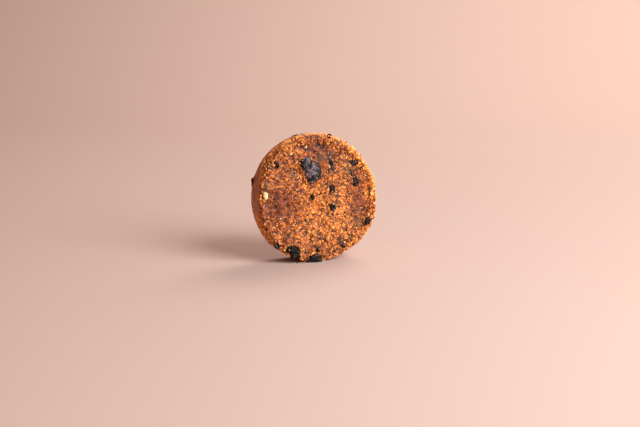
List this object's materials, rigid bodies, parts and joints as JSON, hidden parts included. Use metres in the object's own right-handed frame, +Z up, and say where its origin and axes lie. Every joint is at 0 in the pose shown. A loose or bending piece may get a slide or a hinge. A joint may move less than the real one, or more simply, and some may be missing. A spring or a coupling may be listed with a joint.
{
  "type": "chocolate chip cookie",
  "caption": "Round thick chocolate chip cookie standing on its edge, with a craggy golden face, a smooth tapering wall and dark chocolate chunks set into the crumb.",
  "frame": {"origin": "middle of the bottom of the cookie's box, on the surface that the cookie stands on", "axes": "+Z up, the open craggy face looks toward -Y with the cookie leaning back 5 degrees, the axis of the round lies in the YZ plane, +X to the right as the face is looked at"},
  "size_m": [0.06, 0.022, 0.0597],
  "materials": {
    "crumb": null,
    "chocolate": null,
    "nut": null
  },
  "bodies": {
    "root": {"crumb": "crumb", "chunk_main": "chocolate", "chunk_upper_slant": "chocolate", "chunk_upper_right": "chocolate", "chunk_right_slant": "chocolate", "chunk_centre_right": "chocolate", "chunk_lower_right": "chocolate", "chunk_centre_slit": "chocolate", "chunk_left_fleck": "chocolate", "chunk_right_lip": "chocolate", "chunk_low_right": "chocolate", "chunk_low_middle": "chocolate", "chunk_low_left": "chocolate", "chunk_foot": "chocolate", "chunk_left_foot": "chocolate", "chunk_crown": "chocolate", "chunk_left_wall": "chocolate", "chunk_top_wall": "chocolate", "chunk_right_wall": "chocolate", "chunk_low_wall": "chocolate", "chunk_base_large": "chocolate", "chunk_base_high": "chocolate", "chunk_base_right": "chocolate", "chunk_base_low": "chocolate", "chunk_base_left": "chocolate", "chunk_base_small": "chocolate", "nut_left": "nut", "nut_base": "nut"}
  },
  "joints": []
}
